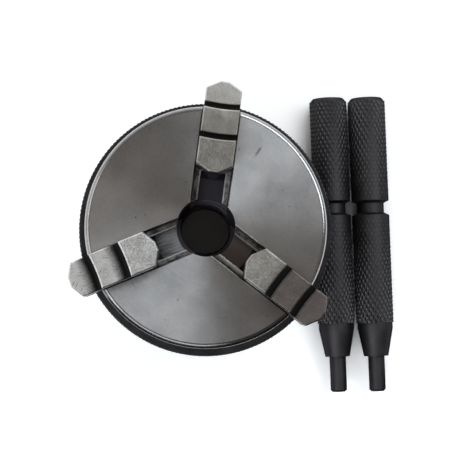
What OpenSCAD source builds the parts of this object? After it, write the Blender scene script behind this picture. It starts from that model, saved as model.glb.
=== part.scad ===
// Mini self-centring three-jaw lathe chuck with a hand-turned scroll ring
// and its two knurled tommy bars. Millimetres. The spindle side is down:
// z = 0 is the back face of the threaded hub, and the bore runs along Z.

/* [Spindle thread and bore] */
// Nominal diameter of the spindle thread in the hub
thread_d = 14; // [12:0.5:15]
// Pitch of the spindle thread
thread_pitch = 1; // [0.5:0.25:1.5]
// Diameter of the through bore for bar stock
work_bore_d = 12; // [8:0.5:12.5]
// Diameter of the bore where it opens in the face
mouth_bore_d = 14.2; // [12.8:0.2:16]
// How far the countersunk seat of the bore reaches below the slot floor
cone_drop = 0.4; // [0.2:0.1:2]

/* [Back hub] */
// Diameter of the back hub
hub_d = 45; // [38:0.5:52]
// Height of the back hub
hub_h = 11.5; // [9:0.5:16]
// Chamfer on the hub's edges
hub_chamfer = 0.8; // [0.2:0.1:1.5]
// Depth of the register that centres the front body on the hub
register_depth = 1; // [0.5:0.1:2]
// Number of tommy holes in the hub
hub_holes = 4; // [2:1:6]

/* [Scroll ring] */
// Outside diameter of the knurled ring
ring_d = 63; // [60:0.5:72]
// Height of the knurled ring
ring_h = 13.4; // [10:0.1:18]
// Chamfer on the ring's edges
ring_chamfer = 0.4; // [0.2:0.1:1.5]
// Number of tommy holes in the ring
ring_holes = 6; // [2:1:8]
// Running gap above and below the ring
ring_play = 0.2; // [0.1:0.05:0.4]

/* [Scroll] */
// Pitch of the scroll, the jaw travel in one turn
scroll_pitch = 3.5; // [3:0.1:4]
// Thickness of the scroll's rib
rib_t = 1.6; // [1.2:0.1:1.8]
// Height of the scroll's rib above the ring
rib_h = 2.5; // [1.8:0.1:3.5]
// Clearance between the rib and a jaw tooth, on each side
tooth_gap = 0.25; // [0.2:0.05:0.35]
// Clearance between the scroll and the walls round it
scroll_gap = 0.3; // [0.2:0.05:0.6]

/* [Front body] */
// Diameter of the front body
body_d = 58.4; // [56:0.2:62]
// Height of the front body, underside to face
body_h = 12.7; // [11:0.1:16]
// Radius of the rounded edge round the face
face_round = 1.2; // [0.4:0.1:2]
// Wall of the skirt round the scroll
skirt_wall = 1.4; // [1:0.1:2]
// Diameter of the spigot that the ring turns on
spigot_d = 25.4; // [24.4:0.2:27]
// Radial clearance of the ring on the spigot
spigot_fit = 0.05; // [0.02:0.01:0.09]

/* [Jaw slots] */
// Depth of the slot above the rails
rail_depth = 3.5; // [2.5:0.1:4]
// Thickness of the rails
rail_t = 2.5; // [1.8:0.1:3]
// How far each rail reaches into the slot
rail_reach = 1.55; // [1:0.05:2]
// Clearance between a jaw and its slot, on each side
slot_gap = 0.2; // [0.1:0.05:0.4]
// Clearance between a jaw and its rails, above and below
rail_gap = 0.1; // [0.05:0.05:0.2]
// Chamfer on the slot's edges at the face
slot_chamfer = 0.2; // [0.1:0.05:0.5]

/* [Jaws] */
// Width of a jaw
jaw_w = 8.7; // [7.5:0.1:10]
// Length of a jaw, tip to tip
jaw_len = 22.5; // [20:0.5:26]
// Distance from the axis to the jaw tips, as set
jaw_open = 12.6; // [6:0.1:16]
// Width of the flat on a jaw's tips
tip_flat = 2.2; // [1.6:0.1:3.4]
// Half of the angle between a tip's two faces
tip_half_angle = 60; // [50:1:70]
// Height of the outer step above the face
jaw_rise = 2.5; // [1.5:0.1:4]
// Rise from one step to the next
step_rise = 2.7; // [2:0.1:3.5]
// Length of the inner step
inner_step = 7.9; // [6.5:0.1:9]
// Length of the middle step
middle_step = 7.6; // [6:0.1:9]
// Radius of the curved gripping faces
grip_r = 40; // [25:1:60]
// Width of the relief groove at the foot of each gripping face
relief_w = 1.6; // [0.8:0.1:2.2]
// Depth of the relief groove
relief_depth = 1.5; // [0.4:0.1:1.8]
// Chamfer on the jaw's top edges
jaw_chamfer = 0.3; // [0.1:0.05:0.6]
// Radius of a tooth's outer face
tooth_outer_r = 12; // [10:0.5:13]
// Radius of a tooth's inner face
tooth_inner_r = 30; // [26:1:50]

/* [Clamp screws] */
// Diameter of the screw circle
screw_circle_d = 20; // [19.4:0.1:20.8]
// Shank diameter of a clamp screw
screw_d = 2.5; // [2:0.1:3]
// Head diameter of a clamp screw
screw_head_d = 4.5; // [4:0.1:4.8]
// Head height of a clamp screw
screw_head_h = 2.5; // [1.5:0.1:3]
// Depth of the head below the back face
screw_sink = 0.5; // [0.2:0.1:1.5]
// Length of the shank
screw_len = 14; // [11:0.5:16]
// Width across the flats of the hexagon socket
hex_af = 2; // [1.5:0.1:2.5]
// Depth of the hexagon socket
hex_depth = 1.3; // [0.6:0.1:1.4]

/* [Tommy bars] */
// Diameter of the knurled grip
grip_d = 9.8; // [8:0.1:11]
// Length of the end grip
grip_len_end = 27.8; // [20:0.5:34]
// Length of the grip beside the cone
grip_len_mid = 28.8; // [20:0.5:34]
// Diameter of the neck between the grips
neck_d = 7.1; // [5:0.1:7.6]
// Length of the neck
neck_len = 2.5; // [1.5:0.1:5]
// Length of the plain cone
cone_len = 8.7; // [5:0.1:12]
// Small diameter of the cone
cone_end_d = 6.4; // [5.2:0.1:7.6]
// Diameter of the pin
pin_d = 4.3; // [3.5:0.1:5]
// Length of the pin
pin_len = 9.2; // [7:0.1:9.8]
// Chamfer on the grip's end
grip_chamfer = 0.9; // [0.3:0.1:1.5]
// Chamfer on the pin's end
pin_chamfer = 0.5; // [0.2:0.1:0.8]
// Clearance of the pin in a tommy hole, across
tommy_fit = 0.3; // [0.1:0.05:0.5]
// Depth of a tommy hole
tommy_depth = 9.9; // [9.9:0.1:10.5]
// Angle of the bars, as they lie, from the Y axis
bar_angle = 9.6; // [0:0.1:20]
// Distance from the chuck's axis to the first bar's centre line
bar_distance = 33.6; // [32.5:0.1:60]
// Gap between the two bars
bar_gap = 0.35; // [0.3:0.05:10]
// How far the first bar reaches past the chuck's centre
bar_reach_1 = 34.3; // [20:0.1:45]
// How far the second bar reaches past the chuck's centre
bar_reach_2 = 34.1; // [20:0.1:45]

/* [Hidden] */
$fn = 96;
eps = 0.01;

jaw_angles = [90, 210, 330];
steel = [0.74, 0.74, 0.75];
ground = [0.82, 0.82, 0.83];
oxide = [0.13, 0.13, 0.14];

// heights, from the back face up
z_register = hub_h - register_depth;
z_ring = hub_h + ring_play;
z_ring_top = z_ring + ring_h;
z_body = z_ring_top + ring_play;
z_face = z_body + body_h;
z_rib = z_ring_top + rib_h;
z_roof = z_rib + ring_play;
z_rail = z_face - rail_depth;
z_rail_under = z_rail - rail_t;
z_tooth = z_ring_top + scroll_gap;
z_cone = z_ring_top - cone_drop;

// radii
thread_r = (thread_d - 1.0825 * thread_pitch) / 2;
spigot_r = spigot_d / 2;
pocket_r = body_d / 2 - skirt_wall;
rib_start = spigot_r + scroll_gap + rib_t / 2;
rib_end = pocket_r - scroll_gap - rib_t / 2;
tooth_t = scroll_pitch - rib_t - 2 * tooth_gap;
slot_w = jaw_w + 2 * slot_gap;
waist_w = jaw_w - 2 * rail_reach;
mouth_cone = (mouth_bore_d - work_bore_d) / 2;
tommy_d = pin_d + tommy_fit;

// radius of the rib's centre line after a turn of t degrees; the scroll
// grows clockwise, so a clockwise turn of the ring closes the jaws
function rib_r(t) = rib_start + scroll_pitch * t / 360;
// radii of the grooves that a jaw at angle a can mesh with
function groove_r(a, k) = rib_r(360 * k - a) + scroll_pitch / 2;

// a hole drilled from the side towards the axis
module tommy_hole(r, z, a) {
  rotate([0, 0, a]) translate([r - tommy_depth, 0, z])
    rotate([0, 90, 0]) cylinder(d = tommy_d, h = tommy_depth + 1);
}

module at_screws() {
  for (a = jaw_angles)
    rotate([0, 0, a + 60]) translate([screw_circle_d / 2, 0, 0]) children();
}

// ---------------------------------------------------------- front body
// a slot from the bore out through the rim: its floor on the spigot, the
// undercut that the jaw's foot fills, the two rails and the chamfered mouth
module jaw_slot() {
  w = slot_w / 2;
  rail = w - rail_reach;
  rotate([90, 0, 90]) linear_extrude(body_d / 2 + 1) polygon([
    [-w, z_ring_top], [w, z_ring_top],
    [w, z_rail_under], [rail, z_rail_under], [rail, z_rail], [w, z_rail],
    [w, z_face - slot_chamfer], [w + 1, z_face + 1 - slot_chamfer],
    [-w - 1, z_face + 1 - slot_chamfer], [-w, z_face - slot_chamfer],
    [-w, z_rail], [-rail, z_rail], [-rail, z_rail_under], [-w, z_rail_under]
  ]);
}

module jaw_body() {
  color(steel) difference() {
    rotate_extrude() {
      polygon([
        [work_bore_d / 2, z_register],
        [spigot_r, z_register],
        [spigot_r, z_roof],
        [pocket_r, z_roof],
        [pocket_r, z_body],
        [body_d / 2, z_body],
        [body_d / 2, z_face - face_round],
        [body_d / 2 - face_round, z_face - face_round],
        [body_d / 2 - face_round, z_face],
        [mouth_bore_d / 2, z_face],
        [mouth_bore_d / 2, z_cone + mouth_cone],
        [work_bore_d / 2, z_cone]
      ]);
      translate([body_d / 2 - face_round, z_face - face_round])
        intersection() {
          circle(r = face_round);
          square(face_round + 1);
        }
    }
    for (a = jaw_angles) rotate([0, 0, a]) jaw_slot();
    at_screws() translate([0, 0, z_register - 1])
      cylinder(d = screw_d + 0.1, h = screw_len - z_register + screw_sink
               + screw_head_h + 2.5, $fn = 32);
  }
}

// ---------------------------------------------------------- scroll ring
module scroll_rib() {
  turns = (rib_end - rib_start) / scroll_pitch;
  n = ceil(48 * turns);
  step = turns * 360 / n;
  inner = [for (i = [0:n]) let (t = i * step, r = rib_r(t) - rib_t / 2)
           [r * cos(-t), r * sin(-t)]];
  outer = [for (i = [n:-1:0]) let (t = i * step, r = rib_r(t) + rib_t / 2)
           [r * cos(-t), r * sin(-t)]];
  polygon(concat(inner, outer));
}

module scroll_ring() {
  r = ring_d / 2;
  color(oxide) difference() {
    union() {
      rotate_extrude() polygon([
        [spigot_r + spigot_fit, z_ring],
        [r - ring_chamfer, z_ring],
        [r, z_ring + ring_chamfer],
        [r, z_ring_top - ring_chamfer],
        [r - ring_chamfer, z_ring_top],
        [spigot_r + spigot_fit, z_ring_top]
      ]);
      translate([0, 0, z_ring_top - 0.5])
        linear_extrude(rib_h + 0.5) scroll_rib();
    }
    for (i = [0:ring_holes - 1])
      tommy_hole(r, z_ring + ring_h / 2, i * 360 / ring_holes + 30);
  }
}

// ---------------------------------------------------------- back hub
module back_hub() {
  r = hub_d / 2;
  color(oxide) difference() {
    rotate_extrude() polygon([
      [thread_r, 0],
      [r - hub_chamfer, 0],
      [r, hub_chamfer],
      [r, hub_h - hub_chamfer],
      [r - hub_chamfer, hub_h],
      [spigot_r + spigot_fit, hub_h],
      [spigot_r + spigot_fit, z_register],
      [thread_r, z_register]
    ]);
    at_screws() {
      translate([0, 0, -1])
        cylinder(d = screw_head_d + 0.3, h = screw_sink + screw_head_h + 1,
                 $fn = 48);
      translate([0, 0, -1])
        cylinder(d = screw_d + 0.2, h = hub_h + 2, $fn = 32);
    }
    for (i = [0:hub_holes - 1])
      tommy_hole(r, hub_h / 2, i * 360 / hub_holes);
  }
}

// ---------------------------------------------------------- jaws
// corners of a jaw's outline, seen from above and counted from its inner tip
tip_slope = (jaw_w - tip_flat) / 2 / tan(tip_half_angle);
jaw_corners = [
  [jaw_open, -tip_flat / 2],
  [jaw_open + tip_slope, -jaw_w / 2],
  [jaw_open + jaw_len - tip_slope, -jaw_w / 2],
  [jaw_open + jaw_len, -tip_flat / 2],
  [jaw_open + jaw_len, tip_flat / 2],
  [jaw_open + jaw_len - tip_slope, jaw_w / 2],
  [jaw_open + tip_slope, jaw_w / 2],
  [jaw_open, tip_flat / 2]
];

module jaw_outline() { polygon(jaw_corners); }

// a wedge that chamfers the top edge from one corner to the next
module edge_chamfer(from, to, top) {
  p = jaw_corners[from];
  q = jaw_corners[to];
  c = jaw_chamfer;
  translate([p[0], p[1], top]) rotate([0, 0, atan2(q[1] - p[1], q[0] - p[0])])
    translate([-c, 0, 0]) rotate([90, 0, 90]) linear_extrude(norm(q - p) + 2 * c)
      polygon([[c + 1, 1], [-1, 1], [-1, -c - 1]]);
}

// one step of the jaw, from the foot up to its chamfered top
module jaw_step(from, to, top) {
  w = jaw_w / 2;
  c = jaw_chamfer;
  foot = z_roof;
  translate([jaw_open + from, 0, 0]) rotate([90, 0, 90])
    linear_extrude(to - from) polygon([
      [-w, foot], [w, foot],
      [w, z_rail_under - rail_gap], [w - rail_reach, z_rail_under - rail_gap],
      [w - rail_reach, z_rail + rail_gap], [w, z_rail + rail_gap],
      [w, top - c], [w - c, top], [c - w, top], [-w, top - c],
      [-w, z_rail + rail_gap], [rail_reach - w, z_rail + rail_gap],
      [rail_reach - w, z_rail_under - rail_gap],
      [-w, z_rail_under - rail_gap]
    ]);
}

// the curved gripping face at the end of a step, with its relief groove
module grip_cut(at, top) {
  translate([jaw_open + at + grip_r, 0, 0]) {
    translate([0, 0, top]) cylinder(r = grip_r, h = step_rise + 1, $fn = 128);
    translate([0, 0, top + step_rise - jaw_chamfer])
      cylinder(r1 = grip_r, r2 = grip_r + jaw_chamfer + 1, h = jaw_chamfer + 1,
               $fn = 128);
    translate([0, 0, top - relief_depth]) difference() {
      cylinder(r = grip_r, h = relief_depth + eps, $fn = 128);
      translate([0, 0, -1])
        cylinder(r = grip_r - relief_w, h = relief_depth + 2, $fn = 128);
    }
  }
}

// a tooth: its outer face is rounder and its inner face flatter than any
// turn of the scroll, so it slides through every turn
module tooth(r) {
  lean = atan(scroll_pitch / (PI * (rib_start + rib_end)));
  translate([r, 0, 0]) rotate([0, 0, lean]) difference() {
    translate([tooth_t / 2 - tooth_outer_r, 0, z_tooth])
      cylinder(r = tooth_outer_r, h = z_roof - z_tooth + eps);
    translate([-tooth_t / 2 - tooth_inner_r, 0, z_tooth - 1])
      cylinder(r = tooth_inner_r, h = z_roof - z_tooth + 2);
  }
}

module jaw(a) {
  top_3 = z_face + jaw_rise;
  top_2 = top_3 + step_rise;
  top_1 = top_2 + step_rise;
  end_2 = inner_step + middle_step;
  edge = jaw_open + tooth_t / 2 + 0.3;
  color(ground) rotate([0, 0, a]) {
    difference() {
      intersection() {
        union() {
          jaw_step(0, inner_step + 1, top_1);
          jaw_step(inner_step + 0.5, end_2 + 1, top_2);
          jaw_step(end_2 + 0.5, jaw_len, top_3);
        }
        translate([0, 0, z_roof - 1])
          linear_extrude(top_1 - z_roof + 2) jaw_outline();
      }
      grip_cut(inner_step, top_2);
      grip_cut(end_2, top_3);
      for (k = [6, 7, 0]) edge_chamfer(k, (k + 1) % 8, top_1);
      for (k = [2, 3, 4]) edge_chamfer(k, k + 1, top_3);
    }
    intersection() {
      for (k = [-3:12])
        if (groove_r(a, k) > edge && groove_r(a, k) < edge + jaw_len - tooth_t - 0.6)
          tooth(groove_r(a, k));
      translate([0, 0, z_tooth - 1])
        linear_extrude(z_roof - z_tooth + 1 + eps) jaw_outline();
    }
  }
}

module jaw_1() { jaw(jaw_angles[0]); }
module jaw_2() { jaw(jaw_angles[1]); }
module jaw_3() { jaw(jaw_angles[2]); }

// ---------------------------------------------------------- clamp screws
module clamp_screw(i) {
  color(oxide) rotate([0, 0, jaw_angles[i] + 60])
    translate([screw_circle_d / 2, 0, screw_sink]) difference() {
      union() {
        cylinder(d = screw_head_d, h = screw_head_h, $fn = 48);
        translate([0, 0, screw_head_h])
          cylinder(d = screw_d, h = screw_len, $fn = 32);
      }
      translate([0, 0, -1])
        cylinder(d = hex_af / cos(30), h = hex_depth + 1, $fn = 6);
    }
}

module clamp_screw_1() { clamp_screw(0); }
module clamp_screw_2() { clamp_screw(1); }
module clamp_screw_3() { clamp_screw(2); }

// ---------------------------------------------------------- tommy bars
module tommy_bar(distance, reach) {
  g = grip_d / 2;
  c = grip_chamfer;
  n = neck_d / 2;
  z1 = grip_len_end;
  z2 = z1 + neck_len;
  z3 = z2 + grip_len_mid;
  z4 = z3 + cone_len;
  z5 = z4 + pin_len;
  s = (g - n) / 2;
  color(oxide) rotate([0, 0, bar_angle]) translate([distance, reach, g])
    rotate([90, 0, 0]) rotate_extrude() polygon([
      [0, 0], [g - c, 0], [g, c],
      [g, z1 - s], [n, z1], [n, z2], [g, z2 + s],
      [g, z3], [cone_end_d / 2, z4],
      [pin_d / 2, z4], [pin_d / 2, z5 - pin_chamfer],
      [pin_d / 2 - pin_chamfer, z5], [0, z5]
    ]);
}

module tommy_bar_1() { tommy_bar(bar_distance, bar_reach_1); }
module tommy_bar_2() { tommy_bar(bar_distance + grip_d + bar_gap, bar_reach_2); }

jaw_body();
scroll_ring();
back_hub();
jaw_1();
jaw_2();
jaw_3();
clamp_screw_1();
clamp_screw_2();
clamp_screw_3();
tommy_bar_1();
tommy_bar_2();
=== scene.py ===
# %% [markdown]
# # A mini lathe chuck and its two tommy bars
# This notebook dresses a finished CAD model of a small self-centring chuck:
# a bright turned body, three ground jaws, a black knurled ring that moves
# the jaws, a black hub that screws on the spindle, and two knurled bars.
# The CAD solids give every size. What is added here is what a maker's
# knurling wheel, tap and grinding wheel leave on the metal. Modelling the
# whole chuck again in Blender would work too, but it would soon disagree
# with the solids, so they are loaded and only dressed.

# %% Load the model
import math
import bpy
import bmesh
from mathutils import Matrix, Vector


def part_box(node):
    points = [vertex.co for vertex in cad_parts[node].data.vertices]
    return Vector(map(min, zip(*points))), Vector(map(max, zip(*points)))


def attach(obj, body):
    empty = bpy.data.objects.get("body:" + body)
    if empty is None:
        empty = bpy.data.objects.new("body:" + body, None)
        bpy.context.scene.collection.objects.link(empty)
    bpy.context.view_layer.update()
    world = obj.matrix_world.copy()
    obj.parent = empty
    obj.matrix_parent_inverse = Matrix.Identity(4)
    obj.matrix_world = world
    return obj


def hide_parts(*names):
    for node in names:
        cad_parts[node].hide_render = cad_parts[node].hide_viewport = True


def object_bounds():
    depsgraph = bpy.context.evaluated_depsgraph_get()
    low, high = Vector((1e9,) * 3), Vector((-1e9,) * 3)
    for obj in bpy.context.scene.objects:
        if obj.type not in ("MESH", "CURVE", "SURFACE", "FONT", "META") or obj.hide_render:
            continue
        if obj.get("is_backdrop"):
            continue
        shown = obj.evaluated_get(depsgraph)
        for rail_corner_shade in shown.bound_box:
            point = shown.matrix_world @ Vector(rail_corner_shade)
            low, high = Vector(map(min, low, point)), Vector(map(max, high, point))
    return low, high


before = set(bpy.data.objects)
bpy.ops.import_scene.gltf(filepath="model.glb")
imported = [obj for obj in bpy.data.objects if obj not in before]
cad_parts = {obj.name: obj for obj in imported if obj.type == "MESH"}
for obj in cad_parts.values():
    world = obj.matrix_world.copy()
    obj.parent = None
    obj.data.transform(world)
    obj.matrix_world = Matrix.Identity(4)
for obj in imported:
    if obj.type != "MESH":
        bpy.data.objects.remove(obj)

MM = 0.001
cad_low, cad_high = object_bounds()
face_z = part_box("jaw_body")[1].z
print("parts:", sorted(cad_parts))
print("size in mm:", [round(v / MM, 1) for v in cad_high - cad_low])

# %% [markdown]
# ## The camera
# The chuck lies on its back and is seen from almost straight above, with a
# long lens. Setting a camera by a point to look at and a roll is easier to
# follow than by three angles, so the three axes are worked out from them.

# %% Camera
eye = Vector((-0.00048, -0.01725, face_z + 0.35011))
aim = Vector((0.00518, 0.00106, face_z))
roll = 0.132
LENS = 115.3

forward = (aim - eye).normalized()
right = forward.cross(Vector((-math.sin(roll), math.cos(roll), 0))).normalized()
upward = right.cross(forward)
camera_data = bpy.data.cameras.new("camera")
camera_data.lens = LENS
camera_data.sensor_width = 36
camera_data.clip_start, camera_data.clip_end = 0.01, 20
camera = bpy.data.objects.new("camera", camera_data)
axes = Matrix((right, upward, -forward)).transposed().to_4x4()
camera.matrix_world = Matrix.Translation(eye) @ axes
bpy.context.scene.collection.objects.link(camera)
bpy.context.scene.camera = camera
bpy.context.scene.view_settings.view_transform = "Standard"
print("camera:", round((aim - eye).length / MM), "mm above the face")

# %% [markdown]
# ## Writing node trees as sums
# Both the finishes and the knurling are node trees. Adding nodes one by one
# hides what they compute, so a socket is wrapped in a small class whose
# + - * / add the Math nodes, and one method adds any other node.

# %% Sockets that can be added and multiplied
class Value:
    """One output socket of a tree, usable in a sum."""

    def __init__(self, tree, socket):
        self.tree, self.socket = tree, socket

    def do(self, operation, *others):
        return self.tree.math(operation, self, *others)

    def __add__(self, other): return self.tree.math("ADD", self, other)
    def __radd__(self, other): return self.tree.math("ADD", other, self)
    def __sub__(self, other): return self.tree.math("SUBTRACT", self, other)
    def __rsub__(self, other): return self.tree.math("SUBTRACT", other, self)
    def __mul__(self, other): return self.tree.math("MULTIPLY", self, other)
    def __rmul__(self, other): return self.tree.math("MULTIPLY", other, self)
    def __truediv__(self, other): return self.tree.math("DIVIDE", self, other)
    def __rtruediv__(self, other): return self.tree.math("DIVIDE", other, self)


class Tree:
    """A node tree, for a finish or for geometry."""

    def __init__(self, tree):
        self.tree = tree

    def node(self, kind, settings=None, inputs=None, output=0):
        made = self.tree.nodes.new(kind)
        for name, setting in (settings or {}).items():
            setattr(made, name, setting)
        for name, given in (inputs or {}).items():
            if isinstance(given, Value):
                self.tree.links.new(given.socket, made.inputs[name])
            else:
                made.inputs[name].default_value = given
        return Value(self, made.outputs[output] if made.outputs else None)

    def math(self, operation, *values):
        return self.node("ShaderNodeMath", {"operation": operation},
                         dict(enumerate(values)))

    def mix(self, factor, a, b, blend="MIX"):
        return self.node("ShaderNodeMix", {"data_type": "RGBA", "blend_type": blend},
                         {0: factor, 6: colour(a), 7: colour(b)}, 2)

    def between(self, value, low, high, to_low=0.0, to_high=1.0):
        """Maps low..high to to_low..to_high, and stays there outside them."""
        return self.node("ShaderNodeMapRange", {"clamp": True},
                         {0: value, 1: low, 2: high, 3: to_low, 4: to_high})


def colour(c):
    return c if isinstance(c, Value) or len(c) == 4 else (*c, 1)

# %% [markdown]
# ## Where a point is on the chuck
# Everything here was made on a lathe or a grinder, so its marks run round an
# axis or along a jaw. An image wrapped over the metal would stretch at the
# edges and blur close up. Instead each finish starts from object coordinates
# in millimetres, and its patterns are sums of them. The corners of real
# parts are never quite sharp, so a Bevel node softens how they catch light.

# %% Coordinates in millimetres
class Finish(Tree):
    """A material with one Principled shader and its coordinates."""

    def __init__(self, name, metal=1.0, aniso=0.0, turn=0.0, rim=1.0):
        self.material = bpy.data.materials.new(name)
        self.material.use_nodes = True
        super().__init__(self.material.node_tree)
        self.tree.nodes.clear()
        self.spot = self.node("ShaderNodeTexCoord", output=3)
        self.shader = self.tree.nodes.new("ShaderNodeBsdfPrincipled")
        self.shader.inputs["Metallic"].default_value = metal
        self.shader.inputs["Anisotropic"].default_value = aniso
        self.shader.inputs["Anisotropic Rotation"].default_value = turn
        self.shader.inputs["Specular Tint"].default_value = (rim, rim, rim, 1)
        self.node("ShaderNodeOutputMaterial", None,
                  {0: Value(self, self.shader.outputs[0])})

    def place(self, centre=(0, 0, 0), turn=(0, 0, 0)):
        """x, y, z in millimetres about a centre, after a turn."""
        moved = self.node("ShaderNodeMapping", {"vector_type": "TEXTURE"},
                          {0: self.spot, 1: centre, 2: turn, 3: (MM, MM, MM)})
        parts = self.node("ShaderNodeSeparateXYZ", None, {0: moved})
        return [Value(self, s) for s in parts.socket.node.outputs]

    def noise(self, where, scale, detail=2.0, rough=0.5):
        return self.node("ShaderNodeTexNoise", {"noise_dimensions": "3D"},
                         {0: where, "Scale": scale, "Detail": detail,
                          "Roughness": rough})

    def at(self, x, y, z):
        return self.node("ShaderNodeCombineXYZ", None, {0: x, 1: y, 2: z})

    def wire(self, name, value):
        if isinstance(value, Value):
            self.tree.links.new(value.socket, self.shader.inputs[name])
        else:
            self.shader.inputs[name].default_value = value

    def bump(self, height, strength, edge=0.12, relief=0.02):
        """Relief from a height, over corners shaded as if slightly rounded."""
        soft = self.node("ShaderNodeBevel", {"samples": 4}, {"Radius": edge * MM})
        self.wire("Normal", self.node(
            "ShaderNodeBump", None, {"Height": height, "Strength": strength,
                                     "Distance": relief * MM, "Normal": soft}))

# %% [markdown]
# ## Painted shade in the slots
# The slots' floors are painted dark, as the shade deep in a slot: black in
# the top one, dark brown in the lower-right one, and in the lower-left one
# pale near the bore and black farther out. The rails are streaked, their
# inner edges are lighter, and painted shade lies in the corner under each
# rail. All three slots share one rule, so each point is first given a place
# in its nearest slot: u runs out along it and v runs across.

# %% The face and its slots
FACE_Z = face_z / MM
FACE_R, ROUNDED, MOUTH_R = 29.2, 1.35, 7.1     # face, its edge, the bore's mouth
RAIL_Z, RAIL_REACH, SLOT_HALF = FACE_Z - 3.5, 1.55, 4.55
RAIL_EDGE = SLOT_HALF - RAIL_REACH             # half the gap between the rails
OPEN_END = 28.8                                # the slots' ends in the rim


def slot_place(f, x, y, r):
    """u and v in the nearest slot, and how near the left and right ones are."""
    turn = (y.do("ARCTAN2", x) - math.pi / 2).do("WRAP", math.pi / 3, -math.pi / 3)
    left, right = (f.between((x * side - y * 0.5) / r, 0.80, 0.97)
                   for side in (-0.866, 0.866))
    return r * turn.do("COSINE"), r * turn.do("SINE"), left, right


def slot_colour(f, slot, z, smoke):
    """The colour of a slot's floor and rails."""
    u, v, left, right = slot
    edge = v.do("ABSOLUTE") - RAIL_EDGE
    streaks = f.noise(f.at(v * 2.2, u * 0.25, z), 1.0, 3.0, 0.6)
    # painted shade: the slot floors dark, the lower-right one dark brown
    floor = f.mix(right, (0.045, 0.041, 0.050), (0.17, 0.145, 0.138))
    # the lower-left floor pale near the bore and painted dark farther out
    left_slot_floor = f.mix(f.between(u + streaks * 9.0, 11.5, 17.5), (0.34, 0.34, 0.35),
                  (0.05, 0.049, 0.05))
    floor = f.mix(left, floor, left_slot_floor)
    rail = f.mix(f.between(smoke + streaks * 0.5, 0.60, 0.92), (0.040, 0.036, 0.034),
                 (0.24, 0.232, 0.225))
    # the rails' inner edges are lighter
    pale_rail_edge = f.between(edge, 0.0, 0.12) * f.between(edge, 0.22, 0.42, 1.0, 0.0)
    rail = f.mix(pale_rail_edge * 0.6, rail, (0.55, 0.55, 0.55))
    # one rail of the lower-right slot is nearly white along its inner edge
    pale_rail_strip = (right * f.between(v, -0.1, 0.1, 1.0, 0.0)
            * f.between(edge, 0.3, 1.1, 1.0, 0.0))
    rail = f.mix(pale_rail_strip * 0.85, rail, (0.95, 0.95, 0.96))
    # painted shade in the corner under each rail
    rail_corner_shade = f.between(edge, RAIL_REACH - 0.35, RAIL_REACH - 0.1)
    rail = f.mix(rail_corner_shade * 0.85, rail, (0.02, 0.018, 0.018))
    return f.mix(f.between(z, RAIL_Z - 0.4, RAIL_Z - 0.2), floor, rail)


print("slots:", round(2 * SLOT_HALF, 2), "mm wide, rails", RAIL_REACH, "mm each")

# %% [markdown]
# ## Marks on the face
# A used face has fingerprints gone brown, small dents, one longer nick, and
# a painted shadow beside two of the jaws. A dent is a Voronoi cell
# that a slow noise lets through here and there, so that they don't form a
# grid. The nick is placed, because one such mark is what the eye remembers.

# %% Dents, nick and painted jaw shadows
NICK = (10.1, 19.8, math.radians(61))          # x, y and the way it runs
NICK_HALF = ((0.8, 1.9), (0.15, 0.45))         # half length and half width


def dents(f, where):
    speck = f.node("ShaderNodeTexVoronoi", None,
                   {0: where, "Scale": 0.42, "Randomness": 1.0})
    pick = f.noise(where, 0.33, 0.0)
    return f.between(speck, 0.06, 0.13, 1.0, 0.0) * f.between(pick, 0.56, 0.60)


def nick(f, z, grain):
    along, across, _ = f.place(centre=(NICK[0] * MM, NICK[1] * MM, 0),
                               turn=(0, 0, NICK[2]))
    ragged = grain * 0.5 - 0.25
    length, width = NICK_HALF
    return (f.between(along.do("ABSOLUTE"), *length, 1.0, 0.0)
            * f.between((across + ragged).do("ABSOLUTE"), *width, 1.0, 0.0)
            * f.between(z, FACE_Z - 0.3, FACE_Z - 0.1))


def jaw_shadows_on_face(f, bright, slot, z, smoke):
    """Painted shadows of two of the jaws, on the face beside them."""
    u, v, left, right = slot
    top = f.between(z, FACE_Z - 0.9, FACE_Z - 0.35)
    # painted shadow of the lower-left jaw, on the face beside it
    left_jaw_shadow = (left * f.between(v, 4.5, 4.6) * f.between(u, 11.0, 15.0)
             * f.between(v + smoke * 2.4, 5.3, 7.8, 1.0, 0.0) * 0.85)
    # painted shadow of the lower-right jaw, warm-tinted, on the face beside it
    warm = (right * f.between(v, -4.6, -4.5, 1.0, 0.0) * f.between(u, 15.0, 25.0)
            * f.between(v - smoke * 3.0, -13.0, -6.0) * 0.55)
    bright = f.mix(left_jaw_shadow * top, bright, (0.045, 0.040, 0.040))
    return f.mix(warm * top, bright, (0.10, 0.075, 0.07))

# %% [markdown]
# ## Bright turned steel
# A facing tool leaves rings so fine that they aren't seen one by one. What
# is seen is how they spread light: a bright fan on each side towards every
# lamp, and dark between. Rings made as bump would be finer than any render
# can show. Anisotropic roughness gives the same fans, since it blurs
# reflections across the rings and hardly along them. The rounded edge was
# polished with a strip of emery, so it is less rough.

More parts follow.
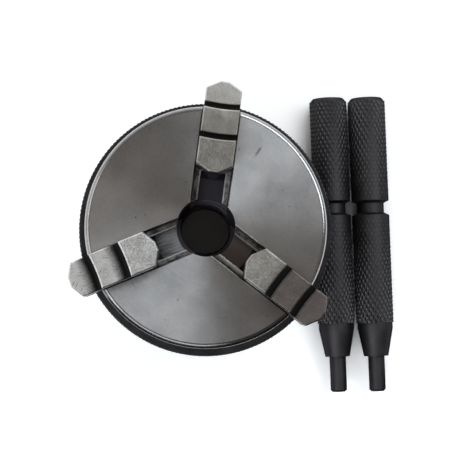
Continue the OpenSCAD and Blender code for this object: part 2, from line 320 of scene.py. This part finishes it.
# %% Turned steel
def turned_steel():
    f = Finish("turned_steel", aniso=0.85, turn=0.25)
    x, y, z = f.place()
    where = f.at(x, y, z)
    r = (x * x + y * y).do("SQRT")
    lines = f.noise(f.at((r + z) * 4, 0.0, 0.0), 1.0, 3.0, 0.7)   # tool marks
    cloud = f.noise(where, 0.12, 3.0)
    stain = f.noise(f.at(x, y + 40, z), 0.22, 4.0, 0.6)
    grain = f.noise(where, 3.2, 2.0, 0.6)
    smoke = f.noise(f.at(x * 0.7, y * 0.7, z), 0.9, 4.0, 0.65)
    dent, cut, slot = dents(f, where), nick(f, z, grain), slot_place(f, x, y, r)
    haze = cloud * 0.5 + lines

    bright = f.mix(f.between(cloud + lines * 0.4, 0.4, 1.0),
                   (0.30, 0.30, 0.305), (0.40, 0.395, 0.39))
    bright = f.mix(f.between(stain, 0.50, 0.72, 0.0, 0.5), bright,
                   (0.24, 0.205, 0.185))                 # fingerprints gone brown
    bright = f.mix(f.between(grain, 0.40, 0.60, 0.0, 0.16), bright,
                   (0.62, 0.61, 0.60))
    bright = f.mix(dent * 0.8, bright, (0.05, 0.045, 0.042))
    bright = f.mix(cut * 0.75, bright, (0.06, 0.052, 0.05))
    below = f.between(z, FACE_Z - 0.9, FACE_Z - 0.35, 1.0, 0.0)
    past_bore = f.between(r, MOUTH_R, MOUTH_R + 0.2)
    in_slot = below * f.between(r, OPEN_END - 0.2, OPEN_END, 1.0, 0.0) * past_bore
    bright = f.mix(in_slot, bright, slot_colour(f, slot, z, smoke))
    # painted shade down the bore: below the face and inside its mouth, dark
    bright = f.mix(below * (1.0 - past_bore), bright, (0.050, 0.046, 0.054))
    # painted shadows of two jaws on the face
    bright = jaw_shadows_on_face(f, bright, slot, z, smoke)
    # the rounded edge: a painted dark reflection on the near side
    rounded = f.between(r, FACE_R - ROUNDED, FACE_R - ROUNDED + 0.2)
    near_side_shade = f.between((x * 0.09 - y * 0.996) / r, 0.45, 0.75)
    f.wire("Base Color", f.mix(near_side_shade * rounded * 0.8, bright, (0.06, 0.054, 0.054)))

    polished = rounded * f.between(z, FACE_Z - 1.5, FACE_Z - 1.3)
    dull = (f.between(haze, 0.4, 1.0, 0.24, 0.36) + dent * 0.2 + cut * 0.2
            + f.between(stain, 0.5, 0.75, 0.0, 0.08))
    f.wire("Roughness", dull + polished * (0.20 - dull))
    f.bump(lines - dent * 1.5 - cut * 1.5, 0.15)
    return f.material


steel = turned_steel()
print(steel.name, "has", len(steel.node_tree.nodes), "nodes")

# %% [markdown]
# ## Ground steel
# A jaw is hardened and then ground, so its steps show fine grain, long
# scratches and no rings. Each jaw catches the lamps its own way, so each is
# given painted light: lighter or darker from one end of the jaw to the
# other. The same finish is made three times, with the painted light at both
# ends of the jaw, the strength of its scratches and the reach of its painted
# step shadow as inputs.

# %% Sizes along a jaw
JAW_WAYS = [math.radians(a) for a in (90, 210, 330)]   # from the axis
JAW_OPEN, INNER_STEP, MIDDLE_STEP, GRIP_R = 12.6, 7.9, 7.6, 40.0
RELIEF_W, RELIEF_DEPTH, STEP_TOPS = 1.6, 1.5, (43.2, 40.5)
TIP_LENGTH, TIP_TOP = 2.6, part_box("jaw_1")[1].z / MM
PAINTED_SHADE_BLACK = (0.012, 0.011, 0.012)


def scratches(f, u, v, strength):
    """Long scratches, each a crest of a noise drawn out one way."""
    cut = 0.0
    for turn, level in ((0.7, 3.0), (-0.35, 11.0)):
        a = u * math.cos(turn) + v * math.sin(turn)
        b = v * math.cos(turn) - u * math.sin(turn)
        drawn = f.noise(f.at(a * 0.35, b * 3.4, level), 1.0, 2.0, 0.6)
        cut = f.between(drawn, 0.62, 0.70, 0.0, strength) + cut
    return cut


def groove_shade_and_step_shadow(f, metal, u, v, z, streak, step_shadow_reach):
    """Painted shade, black in the relief groove under each step, and a painted shadow of
    the step reaching outward from it.
    """
    bow = u - v * v * (0.5 / GRIP_R)       # the steps are curved like the work
    for k, top in enumerate(STEP_TOPS):
        start = JAW_OPEN + INNER_STEP + k * MIDDLE_STEP
        along = (f.between(bow, start - 0.12, start - 0.02)
                 * f.between(bow, start + RELIEF_W - 0.05, start + RELIEF_W + 0.3,
                             1.0, 0.0))
        level = (f.between(z, top - RELIEF_DEPTH - 0.2, top - RELIEF_DEPTH - 0.1)
                 * f.between(z, top + 0.05, top + 0.4, 1.0, 0.0))
        stop = start + RELIEF_W + 0.15 * step_shadow_reach
        step_shadow = (f.between(bow + streak * 0.8 - 0.4, stop, stop + step_shadow_reach, 1.0, 0.0)
                  * f.between(bow, start, start + 0.1) * min(1.0, step_shadow_reach))
        # painted shade in the groove, and the painted shadow of the step beside it
        painted_shade = (along * 0.97).do("MAXIMUM", step_shadow * 0.95)
        metal = f.mix(painted_shade * level, metal, PAINTED_SHADE_BLACK)
    return metal


print("jaw tips at r", JAW_OPEN, "mm, their tops at", round(TIP_TOP, 1))

# %% Ground steel
def ground_steel(name, way, inner, outer, span, scratch, step_shadow_reach):
    """A jaw's steel. Its painted light runs from inner to outer over a span of the
    jaw, and its painted shadow reaches out from each groove by so much."""
    f = Finish(name)
    u, v, z = f.place(turn=(0, 0, way))      # u runs out along the jaw
    where = f.at(u, v, z)
    grain = f.noise(where, 4.0, 3.0, 0.7)
    streak = f.noise(f.at(u * 0.5, v * 5, z), 1.0, 3.0, 0.6)
    cloud = f.noise(where, 0.3, 2.0)
    cut = scratches(f, u, v, scratch)
    tone = f.between(grain * 0.45 + streak * 0.2 + cloud * 0.35, 0.38, 0.62)
    metal = f.mix(tone, (0.27, 0.262, 0.245), (0.42, 0.415, 0.40))
    # painted light: the jaw lighter or darker along its length, as it catches the lamps
    painted_jaw_light = f.mix(f.between(u + cloud * 4 - 2, *span), inner, outer)
    metal = f.mix(1.0, metal, painted_jaw_light, "MULTIPLY")
    metal = f.mix(cut.do("MINIMUM", 0.8), metal, (0.06, 0.057, 0.055))
    # painted shade in the grooves and painted step shadows
    metal = groove_shade_and_step_shadow(f, metal, u, v, z, streak, step_shadow_reach)
    # painted shade: the flanks in the slot and the faces of the tip are dark
    below = f.between(z, FACE_Z - 1.2, FACE_Z + 0.1, 1.0, 0.0)
    tip = f.between(z, TIP_TOP - 0.45, TIP_TOP - 0.3, 1.0, 0.0) * f.between(
        u, JAW_OPEN + TIP_LENGTH, JAW_OPEN + TIP_LENGTH + 0.3, 1.0, 0.0)
    f.wire("Base Color", f.mix(below.do("MAXIMUM", tip), metal,
                               (0.035, 0.031, 0.030)))
    f.wire("Roughness", f.between(grain, 0.35, 0.65, 0.28, 0.46) + cut * 0.2)
    f.bump(grain * 0.6 + streak * 0.4 - cut, 0.3)
    return f.material


# each jaw's two colours are painted light; the last number is its painted step shadow's
# reach
grounds = [
    ground_steel("ground_steel_1", JAW_WAYS[0], (0.98, 0.95, 0.91), (1.75, 1.74, 1.72),
                 (26.0, 30.0), 0.3, 0.0),
    ground_steel("ground_steel_2", JAW_WAYS[1], (1.95, 1.97, 2.03), (1.95, 1.96, 2.0),
                 (18.0, 33.0), 0.8, 2.0),
    ground_steel("ground_steel_3", JAW_WAYS[2], (1.22, 1.20, 1.16), (0.50, 0.45, 0.44),
                 (17.5, 22.5), 0.3, 0.6)]
print("ground steel:", [m.name for m in grounds])

# %% [markdown]
# ## Black oxide
# The ring, the hub and the bars were blackened in a hot salt bath. The layer
# is a thin oxide on steel and not paint, so it stays a metal with a very
# dark colour. A plain metal still turns white where it is seen edge on, so
# its Specular Tint is lowered. Handling wears the knurl's crests a little
# paler, and so they have a finish of their own.

# %% Black oxide
def black_oxide(name, low, high, rough):
    f = Finish(name, rim=0.25)
    where = f.at(*f.place())
    cloud = f.noise(where, 0.35, 4.0)
    grain = f.noise(where, 6.0, 2.0)
    f.wire("Base Color", f.mix(f.between(cloud * 0.6 + grain * 0.4, 0.35, 0.65),
                               low, high))
    f.wire("Roughness", f.between(cloud, 0.3, 0.7, rough - 0.06, rough + 0.06))
    f.bump(grain, 0.12)
    return f.material


oxide = black_oxide("black_oxide", (0.030, 0.030, 0.032), (0.048, 0.046, 0.047), 0.46)
crest = black_oxide("worn_crest", (0.055, 0.053, 0.055), (0.085, 0.082, 0.08), 0.44)
bar_oxide = black_oxide("bar_oxide", (0.046, 0.043, 0.046), (0.062, 0.058, 0.060), 0.54)
bar_crest = black_oxide("bar_crest", (0.066, 0.062, 0.065), (0.090, 0.086, 0.086), 0.52)
print("black finishes:", [m.name for m in (oxide, crest, bar_oxide, bar_crest)])

# %% [markdown]
# ## Finishes on the parts
# The CAD parts keep their shape, and only their material slots are filled.
# The ring, the hub and the bars get their finish here too, because the
# copies made of them below use the same materials.

# %% Finishes on the parts
finishes = {"jaw_body": steel, "scroll_ring": oxide, "back_hub": oxide,
            "jaw_1": grounds[0], "jaw_2": grounds[1], "jaw_3": grounds[2],
            "clamp_screw_1": oxide, "clamp_screw_2": oxide, "clamp_screw_3": oxide,
            "tommy_bar_1": bar_oxide, "tommy_bar_2": bar_oxide}
for name, material in finishes.items():
    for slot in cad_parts[name].material_slots:
        slot.material = material
print("finishes on", len(finishes), "of", len(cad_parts), "parts")

# %% [markdown]
# ## Knurling
# A knurling wheel rolls two sets of spiral grooves into the metal, one each
# way, and leaves a small pyramid wherever four grooves meet. So the knurl is
# made as what is left: one blunt four-sided pyramid, set on every point of a
# staggered lattice that is wrapped round the part. Geometry Nodes do this
# well, because the lattice is only a rule on each point's number.

# %% Patterns that run once
class Pattern(Tree):
    """A geometry tree with named sizes. run() turns its result into a mesh."""

    KINDS = {int: "NodeSocketInt", float: "NodeSocketFloat"}

    def __init__(self, name, **sizes):
        super().__init__(bpy.data.node_groups.new(name, "GeometryNodeTree"))
        face = self.tree.interface
        face.new_socket("Geometry", in_out="OUTPUT", socket_type="NodeSocketGeometry")
        for size, start in sizes.items():
            made = face.new_socket(size, in_out="INPUT",
                                   socket_type=self.KINDS[type(start)])
            made.default_value = start
        self.given = self.tree.nodes.new("NodeGroupInput")
        self.result = self.tree.nodes.new("NodeGroupOutput")

    def size(self, name):
        return Value(self, self.given.outputs[name])

    def end(self, geometry, material, top=None, top_material=None):
        """Realizes the instances and sets one material, or two."""
        plain = self.node("GeometryNodeRealizeInstances", None, {0: geometry})
        done = self.node("GeometryNodeSetMaterial", None,
                         {0: plain, "Material": material})
        if top is not None:
            done = self.node("GeometryNodeSetMaterial", None,
                             {0: done, 1: top, "Material": top_material})
        self.tree.links.new(done.socket, self.result.inputs[0])

    def run(self, name, **sizes):
        """Gives the sizes to a modifier, and keeps only the mesh it makes."""
        holder = bpy.data.objects.new(name, bpy.data.meshes.new(name))
        bpy.context.scene.collection.objects.link(holder)
        step = holder.modifiers.new("pattern", "NODES")
        step.node_group = self.tree
        for item in self.tree.interface.items_tree:
            if item.in_out == "INPUT" and item.name in sizes:
                step[item.identifier] = sizes[item.name]
        graph = bpy.context.evaluated_depsgraph_get()
        mesh = bpy.data.meshes.new_from_object(holder.evaluated_get(graph))
        bpy.data.objects.remove(holder)
        mesh.name = name
        return mesh


print("a pattern takes", " and ".join(k.__name__ for k in Pattern.KINDS), "sizes")

# %% [markdown]
# ## One pattern for every knurl
# The ring and the bars differ only in size, so one tree with named sizes
# serves all of them. Each point's number gives its row and its column, and
# every second row is shifted by half a tooth. A cone with four sides and a
# flat top is the blunt pyramid. The ring's tommy holes were drilled after
# knurling, so pyramids that would hang over a hole are left out.

# %% The knurl
def knurl_pattern(flank, top):
    p = Pattern("knurl", around=30, rows=10, radius=5.0, row_step=0.87, start=0.0,
                depth=0.3, blunt=0.2, holes=0, hole_height=0.0, hole_radius=0.0,
                hole_turn=0.0)
    around, radius, step = p.size("around"), p.size("radius"), p.size("row_step")
    line = p.node("GeometryNodeMeshLine", {"mode": "OFFSET"},
                  {"Count": around * p.size("rows")})
    number = p.node("GeometryNodeInputIndex")
    row = (number / around).do("FLOOR")
    column = number - row * around
    shift = row.do("MODULO", 2.0) * 0.5
    angle = (column + shift) * (2 * math.pi) / around
    height = p.size("start") + row * step
    spot = p.node("ShaderNodeCombineXYZ", None, {
        0: angle.do("COSINE") * radius, 1: angle.do("SINE") * radius, 2: height})
    points = p.node("GeometryNodeSetPosition", None, {0: line, "Position": spot})
    apart = 2 * math.pi / p.size("holes").do("MAXIMUM", 1.0)
    off = (angle - p.size("hole_turn")).do("WRAP", apart * 0.5, apart * -0.5) * radius
    rise = height - p.size("hole_height")
    clear = (off * off + rise * rise).do("SQRT").do("GREATER_THAN",
                                                    p.size("hole_radius"))
    half = math.pi * radius / around
    cone = p.node("GeometryNodeMeshCone", {"fill_type": "NGON"}, {
        "Vertices": 4, "Radius Top": p.size("blunt"), "Radius Bottom": 1.0,
        "Depth": p.size("depth")})
    diamond = p.node("GeometryNodeTransform", None, {
        0: cone, "Scale": p.node("ShaderNodeCombineXYZ", None,
                                 {0: step, 1: half, 2: 1.0})})
    lean = p.node("FunctionNodeEulerToRotation", None, {
        0: p.node("ShaderNodeCombineXYZ", None, {0: 0.0, 1: math.pi / 2, 2: angle})})
    each = p.node("GeometryNodeInstanceOnPoints", None, {
        0: points, "Selection": clear, "Instance": diamond, "Rotation": lean})
    p.end(each, flank, Value(p, cone.socket.node.outputs["Top"]), top)
    return p


knurl = knurl_pattern(oxide, crest)
bar_knurl = knurl_pattern(bar_oxide, bar_crest)
print("the knurl's tree has", len(knurl.tree.nodes), "nodes")

# %% [markdown]
# ## Copies that a tool has marked
# A knurling wheel doesn't add metal: it presses grooves in, and the crests
# keep about the old diameter. So a copy of the CAD mesh is first turned down
# to the bottom of the grooves, and the pyramids are put back on it. A
# pattern is cut off square where its span ends, as a groove beside it would
# do. The CAD meshes themselves are never changed.

# %% Copies of CAD nodes
def cad_copy(node):
    """The node's mesh, its loose triangles joined, as a bmesh in millimetres."""
    bm = bmesh.new()
    bm.from_mesh(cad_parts[node].data)
    bm.transform(Matrix.Scale(1 / MM, 4))
    bmesh.ops.remove_doubles(bm, verts=bm.verts, dist=1e-4)
    return bm


SHARP = math.radians(32)          # edges steeper than this stay crisp


def finish_mesh(name, bm, materials):
    """Shades smooth between the sharp edges and gives the mesh an object."""
    for face in bm.faces:
        face.smooth = True
    for edge in bm.edges:
        edge.smooth = edge.calc_face_angle(0) < SHARP
    bm.transform(Matrix.Scale(MM, 4))
    mesh = bpy.data.meshes.new(name)
    bm.to_mesh(mesh)
    bm.free()
    for material in materials:
        mesh.materials.append(material)
    piece = bpy.data.objects.new(name, mesh)
    bpy.context.scene.collection.objects.link(piece)
    return piece


def add_pattern(bm, mesh, place=Matrix(), span=None):
    """Adds a pattern's mesh to a bmesh, cut off square where its span ends."""
    part = bmesh.new()
    part.from_mesh(mesh)
    for end, way in ((0, -1), (1, 1)) if span else ():
        cut = bmesh.ops.bisect_plane(
            part, geom=part.verts[:] + part.edges[:] + part.faces[:],
            plane_co=(0, 0, span[end]), plane_no=(0, 0, way), clear_outer=True)
        rim = [e for e in cut["geom_cut"] if isinstance(e, bmesh.types.BMEdge)]
        bmesh.ops.holes_fill(part, edges=rim)
    part.transform(place)
    part.to_mesh(mesh)
    part.free()
    bm.from_mesh(mesh)
    bpy.data.meshes.remove(mesh)


def sink(bm, place, crest_r, root_r, spans):
    """Turns the knurled spans down to the bottom of the grooves."""
    back = place.inverted()
    for v in bm.verts:
        q = back @ v.co
        r = math.hypot(q.x, q.y)
        if abs(r - crest_r) < 0.01 and any(a - 0.05 < q.z < b + 0.05 for a, b in spans):
            q.x *= root_r / r
            q.y *= root_r / r
            v.co = place @ q


print("crisp edges over", round(math.degrees(SHARP)), "degrees")

# %% [markdown]
# ## The knurled ring
# The ring is gripped by hand, so its whole rim is knurled, from chamfer to
# chamfer. The number of teeth follows from the pitch of the wheel and has
# to be whole. The first and last rows are cut in half, so that the knurl
# meets both chamfers.

# %% The knurled ring
RING_R, RING_LOW, RING_HIGH, RING_CHAMFER = 31.5, 11.7, 25.1, 0.4
RING_TEETH, RING_ROWS, RING_DEPTH, RING_BLUNT = 177, 13, 0.3, 0.36
RING_HOLES, HOLE_R, HOLE_TURN = 6, 2.3, math.radians(30)
HOLE_CLEAR = 0.5                # from a hole's edge to the middle of a pyramid
RING_SINK = 0.03                # how far the pyramids' feet go into the ring
band = (RING_LOW + RING_CHAMFER, RING_HIGH - RING_CHAMFER)
row_step = (band[1] - band[0]) / (RING_ROWS - 1)
ring_root = RING_R - RING_DEPTH
ring = cad_copy("scroll_ring")
sink(ring, Matrix(), RING_R, ring_root, [band])
mesh = knurl.run("ring_knurl", around=RING_TEETH, rows=RING_ROWS, row_step=row_step,
                 radius=ring_root - RING_SINK, depth=RING_DEPTH + RING_SINK,
                 start=band[0], blunt=RING_BLUNT, holes=RING_HOLES,
                 hole_height=(RING_LOW + RING_HIGH) / 2,
                 hole_radius=HOLE_R + HOLE_CLEAR, hole_turn=HOLE_TURN)
print("ring knurl:", len(mesh.polygons), "faces, row step", round(row_step, 2))
add_pattern(ring, mesh, span=band)
knurled_ring = finish_mesh("knurled_scroll_ring", ring, [oxide, crest])
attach(knurled_ring, "ring")
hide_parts("scroll_ring")

# %% [markdown]
# ## The tommy bars
# Each bar is knurled in two spans with a plain neck between them. The bars
# lie on the floor, turned a little, so the pattern is made upright on the
# Z axis and then laid down with one matrix, which also tells the copy's
# round surface from its ends.

# %% The tommy bars
BAR_R, BAR_TURN, BAR_TEETH = 4.9, math.radians(9.6), 26
BAR_DEPTH, BAR_SINK, BAR_BLUNT, BAR_ROW = 0.3, 0.05, 0.3, 1.095
BAR_SPANS = [(0.9, 26.45), (31.65, 59.1)]      # from the bar's outer end
bar_root = BAR_R - BAR_DEPTH
for name, body, distance, reach in (("tommy_bar_1", "bar_a", 33.6, 34.3),
                                    ("tommy_bar_2", "bar_b", 43.75, 34.1)):
    lay = (Matrix.Rotation(BAR_TURN, 4, "Z")
           @ Matrix.Translation((distance, reach, BAR_R))
           @ Matrix.Rotation(math.pi / 2, 4, "X"))
    bar = cad_copy(name)
    sink(bar, lay, BAR_R, bar_root, BAR_SPANS)
    for start, end in BAR_SPANS:
        rows = round((end - start) / BAR_ROW)
        mesh = bar_knurl.run(name + "_knurl", around=BAR_TEETH, rows=rows + 1,
                         radius=bar_root - BAR_SINK, row_step=(end - start) / rows,
                         start=start, depth=BAR_DEPTH + BAR_SINK, blunt=BAR_BLUNT)
        add_pattern(bar, mesh, lay, (start, end))
    piece = finish_mesh(name + "_knurled", bar, [bar_oxide, bar_crest])
    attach(piece, body)
    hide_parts(name)
    print(name, len(piece.data.polygons), "faces")

# %% [markdown]
# ## The spindle thread
# The hub is cut with a right-hand metric thread. The CAD bore has the
# thread's smallest diameter, so the copy's bore is opened to the largest and
# the ridge is put back: a trapezium swept along a helix, which is one Curve
# to Mesh node. It is cut square at the back face and at the register.
# A spiral that turns anticlockwise as it climbs is a right-hand one.

# %% Thread pattern
RIDGE_TURN = math.pi / 2          # the ridge's narrow side faces the axis


def thread_pattern(material):
    p = Pattern("thread", pitch=1.0, turns=12.0, radius=6.735, crest=0.25, root=0.9,
                depth=0.55, start=-1.0)
    turns, depth = p.size("turns"), p.size("depth")
    helix = p.node("GeometryNodeCurveSpiral", None, {
        "Resolution": 48, "Rotations": turns, "Start Radius": p.size("radius"),
        "End Radius": p.size("radius"), "Height": turns * p.size("pitch"),
        "Reverse": True})
    helix = p.node("GeometryNodeSetCurveNormal", {"mode": "Z_UP"}, {0: helix})
    ridge = p.node("GeometryNodeCurvePrimitiveQuadrilateral", {"mode": "TRAPEZOID"}, {
        "Bottom Width": p.size("root"), "Top Width": p.size("crest"),
        "Height": depth, "Offset": 0.0})
    ridge = p.node("GeometryNodeTransform", None, {
        0: ridge, "Rotation": (0.0, 0.0, RIDGE_TURN)})
    swept = p.node("GeometryNodeCurveToMesh", None, {0: helix, 1: ridge,
                                                     "Fill Caps": True})
    raised = p.node("GeometryNodeTransform", None, {
        0: swept, "Translation": p.node("ShaderNodeCombineXYZ", None,
                                        {0: 0.0, 1: 0.0, 2: p.size("start")})})
    p.end(raised, material)
    return p


thread = thread_pattern(oxide)
print("the thread's tree has", len(thread.tree.nodes), "nodes")

# %% [markdown]
# ## The threaded hub
# A thread starts with a lead-in, a small cone that lets the spindle find it.
# The bore's wall is cut once just inside the back face, and then every
# vertex on it is moved out to the thread's largest diameter, a little
# farther at the back face. That leaves the rest of the hub as it was.

# %% The threaded hub
THREAD_MINOR, THREAD_MAJOR, LEAD_IN, REGISTER_Z = 6.45875, 7.0, 0.6, 10.5
LEAD_WIDER, NEAR = 0.36, 0.05
hub = cad_copy("back_hub")


def on_bore(v):
    return math.hypot(v.co.x, v.co.y) < THREAD_MINOR + NEAR


wall = [f for f in hub.faces if all(on_bore(v) for v in f.verts)]
edges = list({e for f in wall for e in f.edges})
corners = list({v for f in wall for v in f.verts})
bmesh.ops.bisect_plane(hub, geom=wall + edges + corners, plane_co=(0, 0, LEAD_IN),
                       plane_no=(0, 0, 1))
for v in filter(on_bore, hub.verts):
    wide = THREAD_MAJOR + (LEAD_WIDER if v.co.z < NEAR else 0)
    grow = wide / math.hypot(v.co.x, v.co.y)
    v.co.x *= grow
    v.co.y *= grow
mesh = thread.run("hub_thread")
spots = [v.co for v in mesh.vertices]
print("thread: radius", round(min(math.hypot(c.x, c.y) for c in spots), 3), "to",
      round(max(math.hypot(c.x, c.y) for c in spots), 3))
add_pattern(hub, mesh, span=(LEAD_IN * 0.5, REGISTER_Z - 0.01))
threaded_hub = finish_mesh("threaded_back_hub", hub, [oxide])
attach(threaded_hub, "chuck_body")
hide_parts("back_hub")

# %% [markdown]
# ## The floor
# White paper has to look white and still keep the shadow that shows where
# the chuck stands. Lamps strong enough to burn it out would also burn out
# the steel. So the paper is a plain matt white, and only for the camera and
# for reflections it also glows a little. From underneath it is clear.

# %% Floor
PAPER, GLOW, SKY_REACH, FLOOR = 0.86, 0.42, 0.045, 4.0
floor_mesh = bpy.data.meshes.new("floor")
FLOOR_Z = -0.00005                # a hair under the hub's back face
floor_mesh.from_pydata([(-FLOOR, -FLOOR, FLOOR_Z), (FLOOR, -FLOOR, FLOOR_Z),
                        (FLOOR, FLOOR, FLOOR_Z), (-FLOOR, FLOOR, FLOOR_Z)],
                       [], [(0, 1, 2, 3)])
floor = bpy.data.objects.new("floor", floor_mesh)
bpy.context.scene.collection.objects.link(floor)
floor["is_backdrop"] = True
paper = bpy.data.materials.new("white_paper")
paper.use_nodes = True
floor_mesh.materials.append(paper)
t = Tree(paper.node_tree)
paper.node_tree.nodes.clear()
matt = t.node("ShaderNodeBsdfDiffuse", None, {0: (PAPER, PAPER, PAPER, 1)})
glow = t.node("ShaderNodeEmission", None, {0: (1, 1, 1, 1), 1: GLOW})
both = t.node("ShaderNodeAddShader", None, {0: matt, 1: glow})
ray = t.node("ShaderNodeLightPath")
# where little sky is seen, as down the bore, the paper doesn't glow
sky_seen = t.node("ShaderNodeAmbientOcclusion", {"samples": 8},
                  {"Distance": SKY_REACH}, 1)
open_sky = t.between(sky_seen, 0.2, 0.5)
seen = open_sky * (Value(t, ray.socket.node.outputs["Is Camera Ray"]) + Value(
    t, ray.socket.node.outputs["Is Glossy Ray"]))
top = t.node("ShaderNodeMixShader", None, {0: seen, 1: matt, 2: both})
under = t.node("ShaderNodeNewGeometry", output="Backfacing")
t.node("ShaderNodeOutputMaterial", None,
       {0: t.node("ShaderNodeMixShader", None, {
           0: under, 1: top, 2: t.node("ShaderNodeBsdfTransparent")})})
print("floor:", 2 * FLOOR, "m wide")

# %% [markdown]
# ## The black card
# Polished metal shows what stands round it, so in a studio a black card is
# put just out of view where an edge should read dark. This one bends round
# the near side, a little higher than the jaws. The camera doesn't see it:
# only the metal does.

# %% Black card
CARD_R, CARD_H = 0.068, 0.052
card_mesh = bpy.data.meshes.new("black_card")
bends = [math.radians(a) for a in range(222, 341, 7)]
corners = [(CARD_R * math.cos(a), CARD_R * math.sin(a), z)
           for a in bends for z in (0.0005, CARD_H)]
card_mesh.from_pydata(corners, [], [(2 * i, 2 * i + 2, 2 * i + 3, 2 * i + 1)
                                    for i in range(len(bends) - 1)])
card = bpy.data.objects.new("black_card", card_mesh)
bpy.context.scene.collection.objects.link(card)
paint = Finish("card_black", metal=0.0)
paint.wire("Base Color", (0.01, 0.01, 0.01, 1))
paint.wire("Roughness", 0.9)
card_mesh.materials.append(paint.material)
card.visible_camera = False
card.visible_shadow = False
card.visible_diffuse = False
card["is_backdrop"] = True
print("card:", len(card_mesh.polygons), "faces")

# %% [markdown]
# ## The room
# Metal reflects the room, so a room of one grey makes it look like plastic.
# The sky here is dim overhead. Near the horizon it is bright on one side,
# as if a window were there, and dark on the other, which draws the rounded
# edges. The camera sees plain white.

# %% World
WINDOW, ZENITH = 145, (0.24, 0.225, 0.21)      # the window's azimuth
world = bpy.data.worlds.new("studio")
bpy.context.scene.world = world
world.use_nodes = True
w = Tree(world.node_tree)
world.node_tree.nodes.clear()
ray = w.node("ShaderNodeLightPath")
camera_ray = Value(w, ray.socket.node.outputs["Is Camera Ray"])
way = w.node("ShaderNodeSeparateXYZ", None,
             {0: w.node("ShaderNodeTexCoord", output=0)})
east, north, up = (Value(w, s) for s in way.socket.node.outputs)


def toward(azimuth):
    """1 where the sky lies in a direction, 0 on the other side."""
    a = math.radians(azimuth)
    return (east * math.cos(a) + north * math.sin(a)) * 0.5 + 0.5


horizon = w.between(toward(WINDOW), 0.3, 0.7, 0.05, 0.9)
height = w.between(up, 0.25, 0.75)
low_sky = w.mix(horizon, (0.0, 0.0, 0.0), (0.95, 0.95, 0.97))
sky = w.mix(height, low_sky, ZENITH)
shown = w.mix(camera_ray, sky, (1, 1, 1))
w.node("ShaderNodeOutputWorld", None,
       {0: w.node("ShaderNodeBackground", None, {0: shown, 1: 1.0})})
print("window toward", WINDOW, "degrees")

# %% [markdown]
# ## The lamps
# Turned steel shows a bright fan towards each lamp and another on the far
# side, so the lamps' directions set where the fans lie. Two wide, cool
# lamps stand nearly opposite each other, so that both fans are full, and a
# weak warm one fills in between them.

# %% Lamps
def soft_lamp(name, azimuth, elevation, distance, width, height, power, tint):
    data = bpy.data.lights.new(name, "AREA")
    data.shape = "RECTANGLE"
    data.size, data.size_y = width, height
    data.energy, data.color = power, tint
    lamp = bpy.data.objects.new(name, data)
    a, e = math.radians(azimuth), math.radians(elevation)
    lamp.location = Vector((math.cos(a) * math.cos(e), math.sin(a) * math.cos(e),
                            math.sin(e))) * distance
    lamp.rotation_mode = "QUATERNION"
    lamp.rotation_quaternion = (-lamp.location).to_track_quat("-Z", "Y")
    bpy.context.scene.collection.objects.link(lamp)


COOL, WARM = (0.86, 0.93, 1.0), (1.0, 0.97, 0.94)
soft_lamp("right_lamp", 52, 50, 1.2, 1.1, 0.5, 8.5, COOL)
soft_lamp("left_lamp", 249, 52, 1.2, 1.0, 0.5, 8.5, COOL)
soft_lamp("fill_lamp", 180, 50, 1.2, 0.7, 0.5, 1.8, WARM)

# %% [markdown]
# ## The size after dressing
# The dressed model has to stay as big as the CAD model, so how much its box
# has grown is printed.

# %% Finish
low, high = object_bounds()
grown = (high - low) - (cad_high - cad_low)
print("grown by mm:", [round(v / MM, 3) for v in grown])
